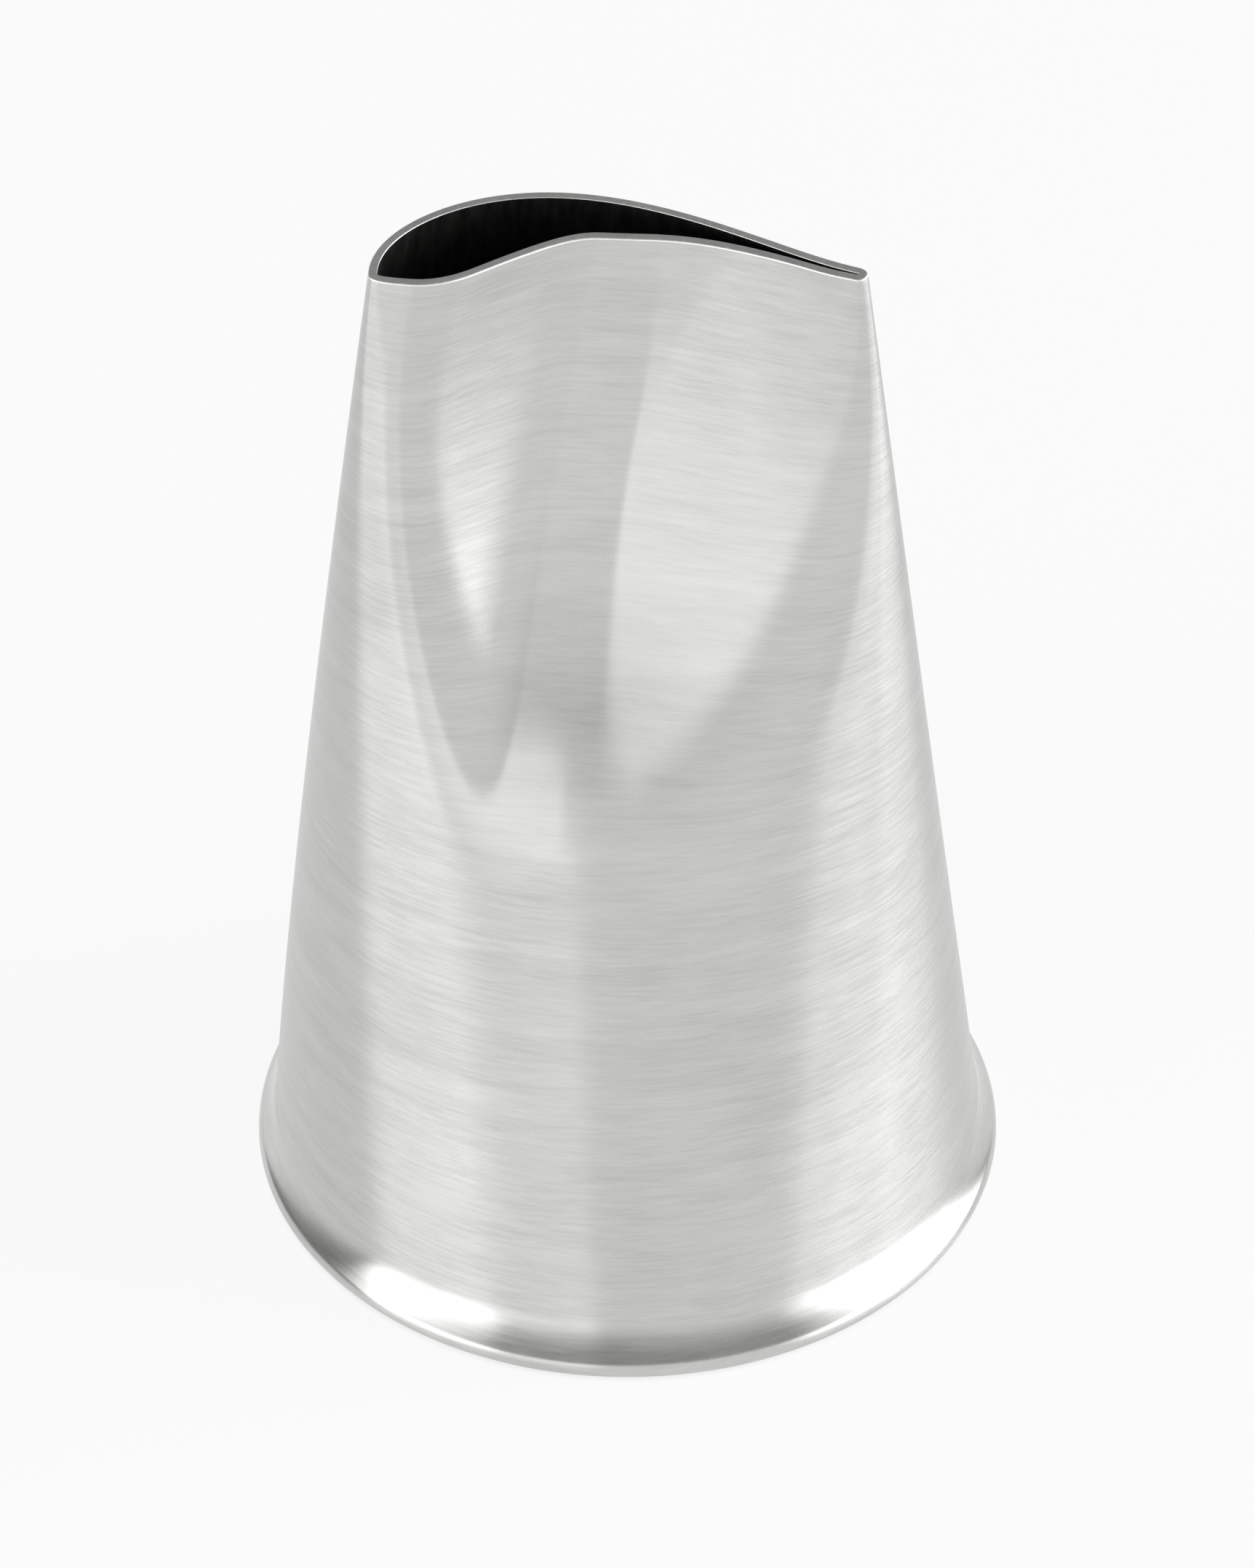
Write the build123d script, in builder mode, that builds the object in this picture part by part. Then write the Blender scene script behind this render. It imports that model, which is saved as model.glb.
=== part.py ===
from build123d import *
from math import acos, cos, degrees, hypot, pi, sin, sqrt
import os

# Curved petal piping nozzle: one tapered tube of thin stainless sheet.
# Origin: middle of the base, on the plane that the rolled rim stands on.
# +Z runs up to the outlet, +X along the slot to its thin tail, +Y to the back.

# Sheet and overall sizes
nozzle_height = 27.06
rim_diameter = 18.0
sheet_thickness = 0.22

# Rolled rim at the base: the sheet is curled outward into a small bead
curl_radius = 0.30
curl_gap = 0.03
rest_flat_width = 0.2

# Outlet, measured inside the sheet
outlet_width = 11.27
outlet_shift = -0.22
outlet_back_depth = 2.60
outlet_front_depth = 0.35
slot_least_gap = 0.19

# Shape of the arched back wall: how it thins from the round end to the tail
back_slope_share = 0.57
back_fall_share = 0.34

# How late the round base turns into the outlet, as powers of the height share
side_power = 1.09
back_power = 1.04
front_power = 0.95
fall_power = 1.51

# How early the sideways shift comes in, as a power of the height that is left
shift_power = 3.5

# Pressed front: a blunt wedge is pushed into the wall between base and outlet.
# Its flanks fall away to the front by these lengths over half the outlet's width.
press_depth = 1.63
press_lean_share = 0.03
press_sweep_radius = 16.7
press_side_shift = -0.22
press_drift_share = 0.166
press_nose_radius = 1.42
left_flank_fall = 4.05
right_flank_fall = 2.70
outlet_blend = 0.53
base_blend = 1.75
corner_power = 12

# Modelling values
points_around = 144
section_shares = (0, 0.1, 0.22, 0.34, 0.45, 0.55, 0.64, 0.73, 0.82, 0.91, 1)
turn_step = 0.001

# Worked-out sizes
rim_radius = rim_diameter / 2
curl_centre_radius = rim_radius - curl_radius
base_inside_radius = curl_centre_radius - curl_radius
curl_inside_radius = curl_radius - sheet_thickness
curl_height = sqrt(curl_radius**2 - (rest_flat_width / 2) ** 2)
curl_end_angle = degrees(acos((curl_gap - curl_inside_radius) / curl_radius))
cone_height = nozzle_height - curl_height
outlet_half_width = outlet_width / 2
turns = [2 * pi * step / points_around for step in range(points_around + 1)]


def blend(start, end, share):
    """Go from start to end as share goes from 0 to 1."""
    return start + (end - start) * share


def softly_above(value, soft):
    """The value where it is above zero, else zero, rounded over soft each way."""
    near = min(max(value, -soft), soft)
    return (near + soft) ** 2 / (4 * soft) + max(value - soft, 0)


def pressed_in(x, height_share):
    """Depth that the wedge reaches at x, measured from the axis to the back."""
    drop = (1 - height_share) * cone_height
    nose_x = press_side_shift - press_drift_share * drop
    nose_y = press_depth - press_lean_share * drop - drop**2 / (2 * press_sweep_radius)
    fall = left_flank_fall if x < nose_x else right_flank_fall
    slope_reach = fall * (x - nose_x) / outlet_half_width
    return nose_y + press_nose_radius - hypot(press_nose_radius, slope_reach)


def inside_point(turn, height_share):
    """Point of the sheet's inside face, turn radians round from the tail."""
    along, across = cos(turn), sin(turn)
    half_width = blend(base_inside_radius, outlet_half_width, height_share**side_power)
    shift = outlet_shift * (1 - (1 - height_share) ** shift_power)
    x = shift + half_width * along
    # Arched back wall
    back_depth = blend(base_inside_radius, outlet_back_depth, height_share**back_power)
    fall = back_slope_share * along + back_fall_share * along**2
    back = back_depth * abs(across) * (1 - fall * height_share**fall_power)
    if across >= 0:
        return x, back
    # Front wall, pushed back by the wedge
    front_depth = blend(base_inside_radius, outlet_front_depth, height_share**front_power)
    front = front_depth * across
    soft = blend(base_blend, outlet_blend, height_share)
    push = softly_above(pressed_in(x, height_share) - front, soft)
    front += push * (1 - along**corner_power)
    # The slot between them never closes
    least = slot_least_gap * abs(across)
    return x, back - least - softly_above(back - front - least, least)


def outside_point(turn, height_share):
    """Point of the sheet's outside face, one sheet thickness further out."""
    x, y = inside_point(turn, height_share)
    x_before, y_before = inside_point(turn - turn_step, height_share)
    x_after, y_after = inside_point(turn + turn_step, height_share)
    run, rise = x_after - x_before, y_after - y_before
    length = hypot(run, rise)
    return x + sheet_thickness * rise / length, y - sheet_thickness * run / length


def outline(point_at, height_share):
    """Closed smooth curve at one height, through points at even turns."""
    points = [Vector(*point_at(turn, height_share)) for turn in turns[:-1]]
    return Edge.make_spline(points, periodic=True, parameters=turns)


with BuildPart() as nozzle_shell:
    # Outside of the tapered wall, from the rolled rim up to the outlet
    for share in section_shares:
        with BuildSketch(Plane.XY.offset(blend(curl_height, nozzle_height, share))):
            with BuildLine():
                add(outline(outside_point, share))
            make_face()
    loft()
    # Inside of the wall
    for share in section_shares:
        with BuildSketch(Plane.XY.offset(blend(curl_height, nozzle_height, share))):
            with BuildLine():
                add(outline(inside_point, share))
            make_face()
    loft(mode=Mode.SUBTRACT)
    # Rolled rim: the sheet turns outward, under and back up to the wall
    with BuildSketch(Plane.XZ):
        with BuildLine():
            centre = (curl_centre_radius, curl_height)
            outer_turn = CenterArc(centre, curl_radius, 180, 180 + curl_end_angle)
            inner_turn = CenterArc(centre, curl_inside_radius, 180, 180 + curl_end_angle)
            Line(outer_turn @ 0, inner_turn @ 0)
            Line(outer_turn @ 1, inner_turn @ 1)
        make_face()
        # Narrow flat that the rim rests on
        with Locations((curl_centre_radius, 0)):
            Rectangle(4 * curl_radius, curl_radius, align=(Align.CENTER, Align.MAX), mode=Mode.SUBTRACT)
    revolve(axis=Axis.Z)
nozzle_shell.part.label = "nozzle_shell"

os.makedirs("parts", exist_ok=True)
export_step(nozzle_shell.part, "parts/nozzle_shell.step")
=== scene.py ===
import logging
import math
from dataclasses import dataclass, field
from enum import Enum
from typing import Any

import bpy
import numpy as np
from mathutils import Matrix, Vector


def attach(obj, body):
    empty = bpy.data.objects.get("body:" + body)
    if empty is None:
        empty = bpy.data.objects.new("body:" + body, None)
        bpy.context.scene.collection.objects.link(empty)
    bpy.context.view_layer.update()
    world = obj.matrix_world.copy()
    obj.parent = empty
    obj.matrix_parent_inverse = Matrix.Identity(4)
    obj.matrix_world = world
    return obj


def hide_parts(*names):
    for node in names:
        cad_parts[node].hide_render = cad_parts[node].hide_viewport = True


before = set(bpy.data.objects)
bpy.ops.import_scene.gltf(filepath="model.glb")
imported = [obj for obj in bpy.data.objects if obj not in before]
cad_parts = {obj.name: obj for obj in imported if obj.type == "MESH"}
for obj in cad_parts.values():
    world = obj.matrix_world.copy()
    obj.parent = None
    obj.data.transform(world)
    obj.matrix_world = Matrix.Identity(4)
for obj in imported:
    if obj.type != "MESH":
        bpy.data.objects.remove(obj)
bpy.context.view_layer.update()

LOG = logging.getLogger("nozzle")

MM = 0.001
MIDDLE = 0.5  # middle of a noise, which runs from 0 to 1


class Surface(Enum):
    """Which part of the sheet a strip of the mesh belongs to."""

    OUTSIDE = 0
    CUT_EDGE = 1
    INSIDE = 2
    ROLLED_RIM = 3


class Operation(Enum):
    """Math node operations that the shader expressions use."""

    ADD = "ADD"
    SUBTRACT = "SUBTRACT"
    MULTIPLY = "MULTIPLY"
    DIVIDE = "DIVIDE"
    POWER = "POWER"
    MINIMUM = "MINIMUM"
    MAXIMUM = "MAXIMUM"


class Number:
    """A number in a node tree, so that shader maths reads as Python maths."""

    def __init__(self, bench: "NodeBench", socket: bpy.types.NodeSocket) -> None:
        """Wrap an output socket.

        Args:
            bench: the tree that the socket is in.
            socket: an output socket that carries a value.
        """
        self.bench = bench
        self.socket = socket

    def _with(self, operation: Operation, first: Any, second: Any) -> "Number":
        """Add one Math node.

        Args:
            operation: what the node does.
            first: its first value, a Number or a plain number.
            second: its second value.

        Returns:
            The node's result.
        """
        node = self.bench.node(
            "ShaderNodeMath", {"operation": operation.value}, {0: first, 1: second}
        )
        return Number(self.bench, node.outputs[0])

    def __add__(self, other: Any) -> "Number":
        """Sum."""
        return self._with(Operation.ADD, self, other)

    def __radd__(self, other: Any) -> "Number":
        """Sum, the other way round."""
        return self._with(Operation.ADD, other, self)

    def __sub__(self, other: Any) -> "Number":
        """Difference."""
        return self._with(Operation.SUBTRACT, self, other)

    def __rsub__(self, other: Any) -> "Number":
        """Difference, the other way round."""
        return self._with(Operation.SUBTRACT, other, self)

    def __mul__(self, other: Any) -> "Number":
        """Product."""
        return self._with(Operation.MULTIPLY, self, other)

    def __rmul__(self, other: Any) -> "Number":
        """Product, the other way round."""
        return self._with(Operation.MULTIPLY, other, self)

    def __truediv__(self, other: Any) -> "Number":
        """Quotient."""
        return self._with(Operation.DIVIDE, self, other)

    def __rtruediv__(self, other: Any) -> "Number":
        """Quotient, the other way round."""
        return self._with(Operation.DIVIDE, other, self)

    def __pow__(self, other: Any) -> "Number":
        """Power."""
        return self._with(Operation.POWER, self, other)

    def at_most(self, other: Any) -> "Number":
        """The smaller of the two."""
        return self._with(Operation.MINIMUM, self, other)

    def at_least(self, other: Any) -> "Number":
        """The larger of the two."""
        return self._with(Operation.MAXIMUM, self, other)


@dataclass(frozen=True)
class Grain:
    """One noise: waves to a unit of length, finer layers added, and how strong those are."""

    scale: float
    layers: float
    strength: float


class NodeBench:
    """Builds one node tree."""

    def __init__(self, tree: bpy.types.NodeTree) -> None:
        """Start on an empty tree.

        Args:
            tree: the tree to build in; what it holds is cleared.
        """
        tree.nodes.clear()
        self.tree = tree

    @staticmethod
    def for_material(name: str) -> tuple[bpy.types.Material, "NodeBench"]:
        """Make a material and its bench.

        Args:
            name: the material's name.

        Returns:
            The material and a bench on its tree.
        """
        material = bpy.data.materials.new(name)
        material.use_nodes = True
        return material, NodeBench(material.node_tree)

    def node(
        self,
        kind: str,
        settings: dict[str, Any] | None = None,
        inputs: dict[str | int, Any] | None = None,
    ) -> bpy.types.Node:
        """Add a node, set it up, then feed its sockets.

        Args:
            kind: the node's type name.
            settings: the node's own settings; "stops" sets a colour ramp's stops.
            inputs: a value, Number or output socket for each named or numbered input.

        Returns:
            The new node.
        """
        node = self.tree.nodes.new(kind)
        for name, value in (settings or {}).items():
            if name == "stops":
                self._set_stops(node, value)
            else:
                setattr(node, name, value)
        for name, value in (inputs or {}).items():
            if isinstance(value, Number):
                value = value.socket
            if isinstance(value, bpy.types.NodeSocket):
                self.tree.links.new(value, node.inputs[name])
            else:
                node.inputs[name].default_value = value
        return node

    @staticmethod
    def _set_stops(node: bpy.types.Node, stops: list[tuple[float, float]]) -> None:
        """Write two grey stops into a colour ramp.

        Args:
            node: the ramp.
            stops: place and grey level of each stop.
        """
        for element, (place, level) in zip(node.color_ramp.elements, stops):
            element.position = place
            element.color = (level, level, level, 1)

    def number(self, kind: str, settings: dict[str, Any], inputs: dict[Any, Any]) -> Number:
        """Add a node and take its first output as a Number."""
        return Number(self, self.node(kind, settings, inputs).outputs[0])

    def place(self) -> tuple[bpy.types.NodeSocket, Number, Number, Number]:
        """Position on the object, in metres.

        Returns:
            The position, and its x, y and z.
        """
        position = self.node("ShaderNodeTexCoord").outputs["Object"]
        split = self.node("ShaderNodeSeparateXYZ", {}, {0: position})
        x, y, z = (Number(self, socket) for socket in split.outputs)
        return position, x, y, z

    def vector(self, x: Any, y: Any, z: Any) -> bpy.types.NodeSocket:
        """Join three numbers into a vector."""
        return self.node("ShaderNodeCombineXYZ", {}, {0: x, 1: y, 2: z}).outputs[0]

    def noise(self, at: bpy.types.NodeSocket, grain: Grain) -> Number:
        """Noise from 0 to 1.

        Args:
            at: where to read it.
            grain: how fine and how rough it is.

        Returns:
            The noise.
        """
        settings = {"noise_dimensions": "3D"}
        inputs = {
            "Vector": at,
            "Scale": grain.scale,
            "Detail": grain.layers,
            "Roughness": grain.strength,
        }
        return self.number("ShaderNodeTexNoise", settings, inputs)

    def tone(
        self, value: Number, stops: tuple[float, float], dark: Any, light: Any
    ) -> bpy.types.NodeSocket:
        """Blend from a dark colour to a light one as a value rises.

        Args:
            value: what the blend follows.
            stops: the values where the blend starts and ends.
            dark: the colour up to the first stop.
            light: the colour from the second stop on.

        Returns:
            The blended colour.
        """
        start, end = stops
        ramp = self.number("ShaderNodeValToRGB", {"stops": [(start, 0.0), (end, 1.0)]}, {0: value})
        return self.node("ShaderNodeMix", {"data_type": "RGBA"}, {0: ramp, 6: dark, 7: light}).outputs[2]

    def metal(
        self,
        colour: bpy.types.NodeSocket,
        roughness: Number,
        relief: Number,
        bump: tuple[float, float],
        brushing: dict[str, float] | None = None,
    ) -> None:
        """Put a metal surface on the tree.

        Args:
            colour: the metal's colour.
            roughness: its roughness.
            relief: its fine relief, from 0 to 1.
            bump: strength of the relief, and its real height.
            brushing: how it is brushed, where it is.
        """
        strength, height = bump
        raised = self.node(
            "ShaderNodeBump", {}, {"Strength": strength, "Distance": height, "Height": relief}
        )
        sockets = {
            "Base Color": colour,
            "Metallic": 1.0,
            "Roughness": roughness,
            "Normal": raised.outputs[0],
            **(brushing or {}),
        }
        shader = self.node("ShaderNodeBsdfPrincipled", {}, sockets)
        self.node("ShaderNodeOutputMaterial", {}, {0: shader.outputs[0]})


@dataclass(frozen=True)
class BrushedSheet:
    """Thin stainless sheet, brushed round the nozzle's axis."""

    name: str = "brushed_sheet"
    light_colour: tuple[float, float, float, float] = (0.64, 0.636, 0.626, 1)
    dark_colour: tuple[float, float, float, float] = (0.51, 0.506, 0.497, 1)
    tone_stops: tuple[float, float] = (0.30, 0.62)
    roughness: float = 0.27
    roughness_change: float = 0.05
    anisotropy: float = 0.95
    across_brushing: float = 0.25
    streaks_along: float = 900.0
    streaks_across: float = 14000.0
    broad_along_share: float = 0.3
    broad_across_share: float = 0.15
    fine: Grain = Grain(1.0, 2.0, 0.6)
    broad: Grain = Grain(1.0, 2.0, 0.5)
    cloud: Grain = Grain(260.0, 3.0, 0.55)
    fine_share: float = 0.6
    streak_share: float = 0.7
    bump: tuple[float, float] = (0.35, 0.000004)

    def make(self) -> bpy.types.Material:
        """Build the finish.

        Returns:
            The material.
        """
        material, bench = NodeBench.for_material(self.name)
        position, x, y, z = bench.place()
        along, across = self.streaks_along, self.streaks_across
        fine = bench.noise(bench.vector(x * along, y * along, z * across), self.fine)
        along, across = along * self.broad_along_share, across * self.broad_across_share
        broad = bench.noise(bench.vector(x * along, y * along, z * across), self.broad)
        cloud = bench.noise(position, self.cloud)
        streak = fine * self.fine_share + broad * (1 - self.fine_share)
        mottle = streak * self.streak_share + cloud * (1 - self.streak_share)
        colour = bench.tone(mottle, self.tone_stops, self.dark_colour, self.light_colour)
        change = self.roughness_change
        rough = self.roughness + (cloud - MIDDLE) * change + (fine - MIDDLE) * change
        brushing = {"Anisotropic": self.anisotropy, "Anisotropic Rotation": self.across_brushing}
        bench.metal(colour, rough, streak, self.bump, brushing)
        return material


@dataclass(frozen=True)
class CutEdge:
    """Sheared edge of the sheet round the outlet, lightly smoothed."""

    name: str = "cut_edge"
    colour: tuple[float, float, float, float] = (0.90, 0.894, 0.882, 1)
    worn_colour: tuple[float, float, float, float] = (0.76, 0.754, 0.743, 1)
    tone_stops: tuple[float, float] = (0.35, 0.65)
    roughness: float = 0.45
    roughness_change: float = 0.15
    grain: Grain = Grain(9000.0, 3.0, 0.6)
    cloud: Grain = Grain(700.0, 2.0, 0.5)
    cloud_share: float = 0.6
    bump: tuple[float, float] = (0.3, 0.000005)

    def make(self) -> bpy.types.Material:
        """Build the finish.

        Returns:
            The material.
        """
        material, bench = NodeBench.for_material(self.name)
        position, _, _, _ = bench.place()
        grain = bench.noise(position, self.grain)
        cloud = bench.noise(position, self.cloud)
        wear = cloud * self.cloud_share + grain * (1 - self.cloud_share)
        colour = bench.tone(wear, self.tone_stops, self.worn_colour, self.colour)
        rough = self.roughness + (grain - MIDDLE) * self.roughness_change
        bench.metal(colour, rough, grain, self.bump)
        return material


@dataclass(frozen=True)
class PaintedShadeInside:
    """Inside of the sheet: unpolished, with painted shade in its colour (dark steel that stands in for
    the deep shade inside the slot, not a darker metal), and faint drawing marks along the height.
    """

    name: str = "painted_shade_inside"
    # painted shade: both colours are kept dark to stand in for the shade deep inside the slot
    light_colour: tuple[float, float, float, float] = (0.16, 0.157, 0.152, 1)
    dark_colour: tuple[float, float, float, float] = (0.08, 0.078, 0.075, 1)
    tone_stops: tuple[float, float] = (0.3, 0.7)
    roughness: float = 0.45
    roughness_change: float = 0.1
    marks_across: float = 4000.0
    marks_along: float = 300.0
    marks: Grain = Grain(1.0, 3.0, 0.6)
    bump: tuple[float, float] = (0.3, 0.000005)

    def make(self) -> bpy.types.Material:
        """Build the finish.

        Returns:
            The material.
        """
        material, bench = NodeBench.for_material(self.name)
        _, x, y, z = bench.place()
        across, along = self.marks_across, self.marks_along
        marks = bench.noise(bench.vector(x * across, y * across, z * along), self.marks)
        # painted shade: the drawing marks only vary the colour between the two dark shade-standing
        # colours
        colour = bench.tone(marks, self.tone_stops, self.dark_colour, self.light_colour)
        rough = self.roughness + (marks - MIDDLE) * self.roughness_change
        bench.metal(colour, rough, marks, self.bump)
        return material


@dataclass
class NozzleForm:
    """Sizes of the nozzle, in metres, and the curve of its sheet at each height.

    The pressed front follows the wall of the CAD model but starts its flat right
    flank at a crisp crease, where the CAD model has a broad blunt wedge.
    """

    height: float = 27.06 * MM
    rim_radius: float = 9.0 * MM
    sheet: float = 0.22 * MM
    curl: float = 0.30 * MM
    rest_flat: float = 0.2 * MM
    outlet_width: float = 11.27 * MM
    outlet_shift: float = -0.22 * MM
    outlet_back: float = 2.60 * MM
    outlet_front: float = 0.35 * MM
    least_gap: float = 0.19 * MM
    back_slope: float = 0.57
    back_fall: float = 0.34
    side_power: float = 1.09
    back_power: float = 1.04
    front_power: float = 0.95
    fall_power: float = 1.51
    shift_power: float = 3.5
    press_depth: float = 1.544 * MM
    press_lean: float = 0.0444
    press_sweep: float = 17.67 * MM
    press_shift: float = -0.733 * MM
    press_drift: float = 0.172
    press_nose: float = 0.778 * MM
    valley_slope: float = 0.049
    left_slope: float = 0.677
    right_slope: float = 0.384
    right_easing: float = 50 * MM
    crease_shift: float = 1.717 * MM
    crease_drift: float = 0.347
    crease_sweep: float = 33.3 * MM
    crease_round: float = 0.04 * MM
    outlet_crease_round: float = 0.40 * MM
    crease_run: float = 5 * MM
    outlet_blend: float = 0.53 * MM
    base_blend: float = 1.75 * MM
    right_outlet_blend: float = 1.5 * MM
    right_base_blend: float = 0.243 * MM
    blend_start: float = 0.3 * MM
    blend_run: float = 1.2 * MM
    corner_power: int = 12
    turn_step: float = 0.001
    tiny: float = 1e-12

    @property
    def curl_centre(self) -> float:
        """Radius of the middle of the rolled rim's tube."""
        return self.rim_radius - self.curl

    @property
    def curl_height(self) -> float:
        """Height of the middle of the rolled rim's tube."""
        return math.sqrt(self.curl**2 - (self.rest_flat / 2) ** 2)

    @property
    def base_inside(self) -> float:
        """Inside radius at the base."""
        return self.curl_centre - self.curl

    def height_at(self, share: float) -> float:
        """Height of a share of the wall."""
        return self.curl_height + (self.height - self.curl_height) * share

    def nose_x(self, share: float) -> float:
        """Where the pressed wedge is deepest, along the slot."""
        return self.press_shift - self.press_drift * (1 - share) * (self.height - self.curl_height)

    def pressed_in(self, x: np.ndarray, share: float) -> np.ndarray:
        """How far back the pressed wedge reaches.

        Args:
            x: places along the slot.
            share: share of the wall's height.

        Returns:
            The wedge's depth at each place: a round left flank, a narrow valley,
            and a flat right flank that starts at a crisp crease.
        """
        drop = (1 - share) * (self.height - self.curl_height)
        nose_x = self.nose_x(share)
        nose_y = self.press_depth - self.press_lean * drop - drop**2 / (2 * self.press_sweep)
        beside = np.minimum(x - nose_x, 0)
        left = nose_y + self.press_nose - np.hypot(self.press_nose, self.left_slope * beside)
        left = left - self.valley_slope * np.maximum(x - nose_x, 0)
        crease_x = self.crease_shift - self.crease_drift * drop + drop**2 / (2 * self.crease_sweep)
        crease_y = nose_y - self.valley_slope * max(crease_x - nose_x, 0)
        right = crease_y - (self.right_slope - drop / self.right_easing) * (x - crease_x)
        near_outlet = max(1 - drop / self.crease_run, 0) ** 2
        soft = self.crease_round + (self.outlet_crease_round - self.crease_round) * near_outlet
        return left - self.softly_above(left - right, soft)

    def blend_at(self, x: np.ndarray, share: float) -> np.ndarray:
        """How softly the wedge runs out into the wall, on its left and on its right.

        Args:
            x: places along the slot.
            share: share of the wall's height.

        Returns:
            The rounding at each place.
        """
        left = self.base_blend + (self.outlet_blend - self.base_blend) * share
        right = self.right_base_blend + (self.right_outlet_blend - self.right_base_blend) * share
        t = np.clip((x - self.nose_x(share) - self.blend_start) / self.blend_run, 0, 1)
        return left + (right - left) * t**2 * (3 - 2 * t)

    @staticmethod
    def softly_above(value: np.ndarray, soft: float | np.ndarray) -> np.ndarray:
        """The value where it is above zero, else zero, rounded over soft each way."""
        return (np.clip(value, -soft, soft) + soft) ** 2 / (4 * soft) + np.maximum(value - soft, 0)

    def inside(self, turns: np.ndarray, share: float) -> np.ndarray:
        """Inside of the sheet at one height.

        Args:
            turns: angles round from the tail, in radians.
            share: share of the wall's height.

        Returns:
            One x, y row for each angle.
        """
        along, across = np.cos(turns), np.sin(turns)
        base = self.base_inside
        half = base + (self.outlet_width / 2 - base) * share**self.side_power
        x = self.outlet_shift * (1 - (1 - share) ** self.shift_power) + half * along
        depth = base + (self.outlet_back - base) * share**self.back_power
        fall = (self.back_slope * along + self.back_fall * along**2) * share**self.fall_power
        back = depth * np.abs(across) * (1 - fall)
        front = -(base + (self.outlet_front - base) * share**self.front_power) * np.abs(across)
        push = self.softly_above(self.pressed_in(x, share) - front, self.blend_at(x, share))
        front = front + push * (1 - along**self.corner_power)
        least = self.least_gap * np.abs(across) + self.tiny
        front = back - least - self.softly_above(back - front - least, least)
        return np.stack([x, np.where(across >= 0, back, front)], axis=1)

    def outside(self, turns: np.ndarray, share: float) -> np.ndarray:
        """Outside of the sheet at one height: its inside moved out by the sheet's thickness.

        Args:
            turns: angles round from the tail, in radians.
            share: share of the wall's height.

        Returns:
            One x, y row for each angle.
        """
        step = self.turn_step
        rise = self.inside(turns + step, share) - self.inside(turns - step, share)
        out = np.stack([rise[:, 1], -rise[:, 0]], axis=1)
        out /= np.linalg.norm(out, axis=1)[:, None]
        return self.inside(turns, share) + self.sheet * out


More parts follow.
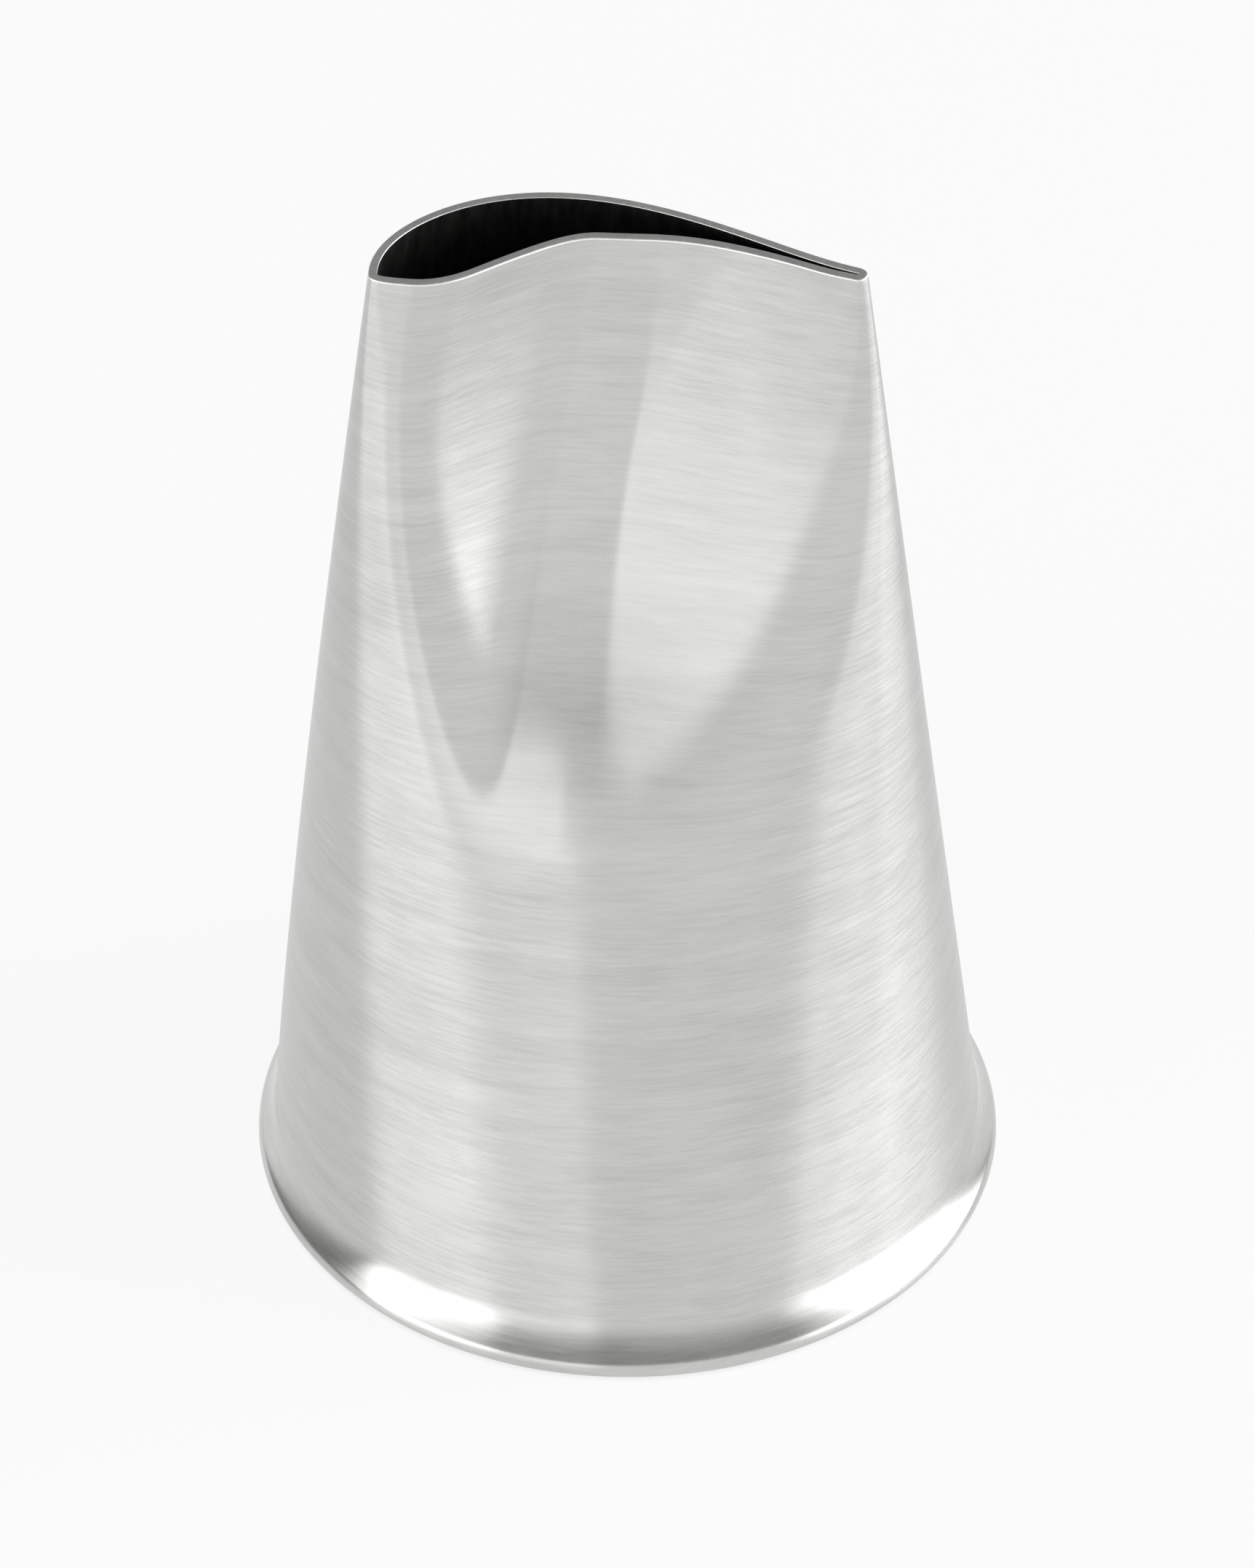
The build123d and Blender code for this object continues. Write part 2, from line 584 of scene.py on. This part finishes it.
@dataclass
class NozzleShell:
    """The nozzle itself: one closed mesh that follows the sheet all the way round."""

    form: NozzleForm = field(default_factory=NozzleForm)
    columns: int = 360
    wall_rows: int = 100
    foot_rows: int = 14
    edge_steps: int = 6
    rim_rows: int = 46
    foot: float = 1.3 * MM
    foot_pull: float = 0.10 * MM
    bead_start: float = 180.0
    bead_end: float = 398.0
    outer_round: float = 0.05 * MM
    inner_round: float = 0.03 * MM
    brushing_axis: tuple[float, float, float] = (-0.2 * MM, 16 * MM, 13.5 * MM)
    name: str = "nozzle_sheet"

    def _turns(self) -> np.ndarray:
        """Angles of the mesh's columns."""
        return np.linspace(0, 2 * math.pi, self.columns, endpoint=False)

    def _level(self, outline: np.ndarray, height: float | np.ndarray) -> np.ndarray:
        """Give an outline its height."""
        z = np.broadcast_to(height, (len(outline),))
        return np.column_stack([outline, z])

    def _share_at(self, height: float) -> float:
        """Share of the wall at a height."""
        return (height - self.form.curl_height) / (self.form.height - self.form.curl_height)

    def _wall(self, side: Surface) -> list[np.ndarray]:
        """Rows of one face of the wall, from the base up.

        Args:
            side: the outside, which starts above the rim, or the inside.

        Returns:
            The rows, up to where the edge's rounding starts.
        """
        form = self.form
        outside = side is Surface.OUTSIDE
        curve = form.outside if outside else form.inside
        start = self._share_at(self.foot) if outside else 0.0
        fall = self.outer_round if outside else self.inner_round
        shares = np.linspace(start, self._share_at(form.height - fall), self.wall_rows)
        rows = [self._level(curve(self._turns(), s), form.height_at(s)) for s in shares]
        return self._foot() + rows if outside else rows

    def _circle(self, reach: float, height: float) -> np.ndarray:
        """A level circle of points round the axis."""
        turns = self._turns()
        return self._level(np.stack([np.cos(turns), np.sin(turns)], axis=1) * reach, height)

    def _bead(self, degrees: float) -> tuple[float, float]:
        """Find a place on the rolled rim.

        Args:
            degrees: angle round the rim's tube, from its outermost side.

        Returns:
            The place's distance from the axis, and its height.
        """
        form, angle = self.form, math.radians(degrees)
        reach = form.curl_centre + form.curl * math.cos(angle)
        height = form.curl_height + form.curl * math.sin(angle)
        return reach, height

    def _foot(self) -> list[np.ndarray]:
        """Lead from the rolled rim's crown up into the wall without a gap.

        Returns:
            The rows between the two, on a cubic curve.
        """
        form, turns = self.form, self._turns()
        reach, height = self._bead(self.bead_end)
        middle = (self.foot + height + self.foot_pull) / 2
        ends = [
            self._circle(reach, height),
            self._circle(reach - self.foot_pull, height + self.foot_pull),
            self._level(form.outside(turns, self._share_at(middle)), middle),
            self._level(form.outside(turns, self._share_at(self.foot)), self.foot),
        ]
        rows = []
        for t in np.linspace(0, 1, self.foot_rows)[1:-1]:
            shares = ((1 - t) ** 3, 3 * t * (1 - t) ** 2, 3 * t**2 * (1 - t), t**3)
            rows.append(sum(share * end for share, end in zip(shares, ends)))
        return rows

    def _edge(self) -> list[np.ndarray]:
        """Go over the cut edge, from its outer rounding to its inner one.

        Returns:
            The rows of both roundings.
        """
        form, turns, steps = self.form, self._turns(), self.edge_steps
        rows = []
        for k in range(1, 2 * steps + 1):
            outer = k <= steps
            step = k if outer else 2 * steps + 1 - k
            radius = self.outer_round if outer else self.inner_round
            bend = math.pi / 2 * step / steps
            height = form.height - radius * (1 - math.sin(bend))
            share = self._share_at(height)
            out, inn = form.outside(turns, share), form.inside(turns, share)
            start, end = (out, inn) if outer else (inn, out)
            across = (end - start) / form.sheet
            rows.append(self._level(start + across * radius * (1 - math.cos(bend)), height))
        return rows

    def _rim(self) -> list[np.ndarray]:
        """Go round the rolled rim, from the inside of the wall to the rim's crown.

        Returns:
            The rows, with the rim's underside cut level to stand on.
        """
        rows = []
        for degrees in np.linspace(self.bead_start, self.bead_end, self.rim_rows)[1:]:
            reach, height = self._bead(degrees)
            rows.append(self._circle(reach, max(height, 0.0)))
        return rows

    def build(self) -> bpy.types.Object:
        """Make the mesh, with a material slot for each surface.

        Returns:
            The new object.
        """
        strips = [
            (Surface.OUTSIDE, self._wall(Surface.OUTSIDE)),
            (Surface.CUT_EDGE, self._edge()),
            (Surface.INSIDE, self._wall(Surface.INSIDE)[::-1]),
            (Surface.ROLLED_RIM, self._rim()),
        ]
        rows = [row for _, strip in strips for row in strip]
        surfaces = [surface for surface, strip in strips for _ in strip]
        count, n = len(rows), self.columns
        form = self.form
        points = np.concatenate(rows)
        faces, slots = [], []
        for i in range(count):
            j = (i + 1) % count
            surface = surfaces[j] if surfaces[i] is Surface.OUTSIDE else surfaces[i]
            for k in range(n):
                m = (k + 1) % n
                faces.append((i * n + k, i * n + m, j * n + m, j * n + k))
                slots.append(surface.value)
        mesh = bpy.data.meshes.new(self.name)
        mesh.from_pydata(points.tolist(), [], faces)
        mesh.polygons.foreach_set("material_index", slots)
        mesh.polygons.foreach_set("use_smooth", [True] * len(faces))
        mesh.update()
        mesh.use_auto_texspace = False
        mesh.texspace_location = self.brushing_axis
        mesh.texspace_size = (form.rim_radius,) * 3
        shell = bpy.data.objects.new(self.name, mesh)
        bpy.context.scene.collection.objects.link(shell)
        return shell

    def dress(self, shell: bpy.types.Object) -> None:
        """Give each surface its finish.

        Args:
            shell: the mesh from build.
        """
        sheet = BrushedSheet().make()
        finishes = {
            Surface.OUTSIDE: sheet,
            Surface.CUT_EDGE: CutEdge().make(),
            # the inside's finish has painted shade in its colour
            Surface.INSIDE: PaintedShadeInside().make(),
            Surface.ROLLED_RIM: sheet,
        }
        for surface in Surface:
            shell.data.materials.append(finishes[surface])

    def make(self) -> bpy.types.Object:
        """Build, dress and seat the nozzle.

        Returns:
            The finished piece.
        """
        shell = self.build()
        self.dress(shell)
        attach(shell, "root")
        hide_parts("nozzle_shell")
        return shell


@dataclass
class Floor:
    """Plain pale floor that shows white and keeps the nozzle's shadow."""

    reach: float = 4.0
    drop: float = 0.02 * MM
    albedo: float = 0.86
    white_share: float = 0.90
    dark_inside: float = 8.3 * MM
    light_outside: float = 9.0 * MM
    name: str = "floor"

    def make(self) -> bpy.types.Object:
        """Build and dress the floor.

        Returns:
            The floor.
        """
        r, z = self.reach, -self.drop
        mesh = bpy.data.meshes.new(self.name)
        mesh.from_pydata([(-r, -r, z), (r, -r, z), (r, r, z), (-r, r, z)], [], [(0, 1, 2, 3)])
        floor = bpy.data.objects.new(self.name, mesh)
        bpy.context.scene.collection.objects.link(floor)
        material, bench = NodeBench.for_material("pale_floor")
        _, x, y, _ = bench.place()
        distance = (x * x + y * y) ** 0.5
        ring = self.light_outside - self.dark_inside
        outside = ((distance - self.dark_inside) / ring).at_least(0).at_most(1)
        path = bench.node("ShaderNodeLightPath")
        seen = Number(bench, path.outputs["Is Camera Ray"])
        seen = seen.at_least(Number(bench, path.outputs["Is Glossy Ray"]))
        seen = seen.at_least(Number(bench, path.outputs["Is Transmission Ray"]))
        grey = (self.albedo,) * 3 + (1,)
        diffuse = bench.node("ShaderNodeBsdfDiffuse", {}, {"Color": grey})
        white = bench.node("ShaderNodeEmission", {}, {"Color": (1, 1, 1, 1), "Strength": 1.0})
        mix = bench.node(
            "ShaderNodeMixShader",
            {},
            {0: seen * outside * self.white_share, 1: diffuse.outputs[0], 2: white.outputs[0]},
        )
        bench.node("ShaderNodeOutputMaterial", {}, {0: mix.outputs[0]})
        mesh.materials.append(material)
        return floor


@dataclass
class SoftBox:
    """A rectangular studio lamp that faces the nozzle, given by the part of the room it fills.

    Its azimuth is 0 in front of the nozzle and rises to the right. Its level is how bright its face is.
    """

    name: str
    azimuth: float
    half_angle: float
    level: float
    elevation: float = 17.5
    half_height: float = 17.5
    distance: float = 0.40
    aim: float = 13 * MM

    def make(self) -> bpy.types.Object:
        """Build the lamp.

        Returns:
            The lamp.
        """
        a, e = math.radians(self.azimuth), math.radians(self.elevation)
        out = Vector((math.sin(a) * math.cos(e), -math.cos(a) * math.cos(e), math.sin(e)))
        data = bpy.data.lights.new(self.name, "AREA")
        data.shape = "RECTANGLE"
        data.size = 2 * self.distance * math.tan(math.radians(self.half_angle))
        data.size_y = 2 * self.distance * math.tan(math.radians(self.half_height))
        data.energy = self.level * math.pi * data.size * data.size_y
        lamp = bpy.data.objects.new(self.name, data)
        lamp.location = Vector((0, 0, self.aim)) + out * self.distance
        lamp.rotation_mode = "QUATERNION"
        lamp.rotation_quaternion = out.to_track_quat("Z", "Y")
        lamp.visible_camera = False
        bpy.context.scene.collection.objects.link(lamp)
        return lamp


@dataclass
class Studio:
    """Floor, even room light and lamps, each with its azimuth, half angle and level."""

    room: float = 0.22
    lamps: tuple[SoftBox, ...] = (
        SoftBox("left_box", -59.5, 19.5, 2.7),
        SoftBox("left_edge", -72.0, 4.0, 1.0),
        SoftBox("left_inner", -24.5, 15.5, 0.65),
        SoftBox("front_fill", 17.5, 57.5, 0.85),
        SoftBox("right_box", 87.5, 37.5, 1.6),
        SoftBox("right_mid", 90.0, 28.0, 1.3),
        SoftBox("right_core", 96.0, 16.0, 3.3),
    )

    def make(self) -> None:
        """Set up the studio."""
        Floor().make()
        world = bpy.data.worlds.new("studio")
        world.use_nodes = True
        bpy.context.scene.world = world
        bench = NodeBench(world.node_tree)
        room = bench.node("ShaderNodeBackground", {}, {"Color": (1, 1, 1, 1), "Strength": self.room})
        bench.node("ShaderNodeOutputWorld", {}, {0: room.outputs[0]})
        for lamp in self.lamps:
            lamp.make()


@dataclass
class PhotoCamera:
    """Camera at the photograph's viewing angle."""

    elevation: float = 41.0
    distance: float = 420 * MM
    target: tuple[float, float, float] = (0.0, 0.0, 11.22 * MM)
    pixels_long: int = 2156
    focal_pixels: float = 24047.0
    clip: tuple[float, float] = (0.01, 20.0)

    def make(self) -> bpy.types.Object:
        """Build the camera.

        Returns:
            The camera.
        """
        data = bpy.data.cameras.new("photo_camera")
        data.lens = self.focal_pixels / self.pixels_long * data.sensor_width
        data.clip_start, data.clip_end = self.clip
        camera = bpy.data.objects.new("photo_camera", data)
        e = math.radians(self.elevation)
        out = Vector((0, -math.cos(e), math.sin(e)))
        camera.location = Vector(self.target) + out * self.distance
        camera.rotation_mode = "QUATERNION"
        camera.rotation_quaternion = out.to_track_quat("Z", "Y")
        bpy.context.scene.collection.objects.link(camera)
        bpy.context.scene.camera = camera
        return camera


def main() -> None:
    """Build the studio and the nozzle, and note what was made."""
    logging.basicConfig(level=logging.INFO, format="%(name)s: %(message)s")
    bpy.context.scene.view_settings.view_transform = "Standard"
    Studio().make()
    PhotoCamera().make()
    shell = NozzleShell().make()
    LOG.info("%s: %d faces", shell.name, len(shell.data.polygons))


if __name__ == "__main__":
    main()
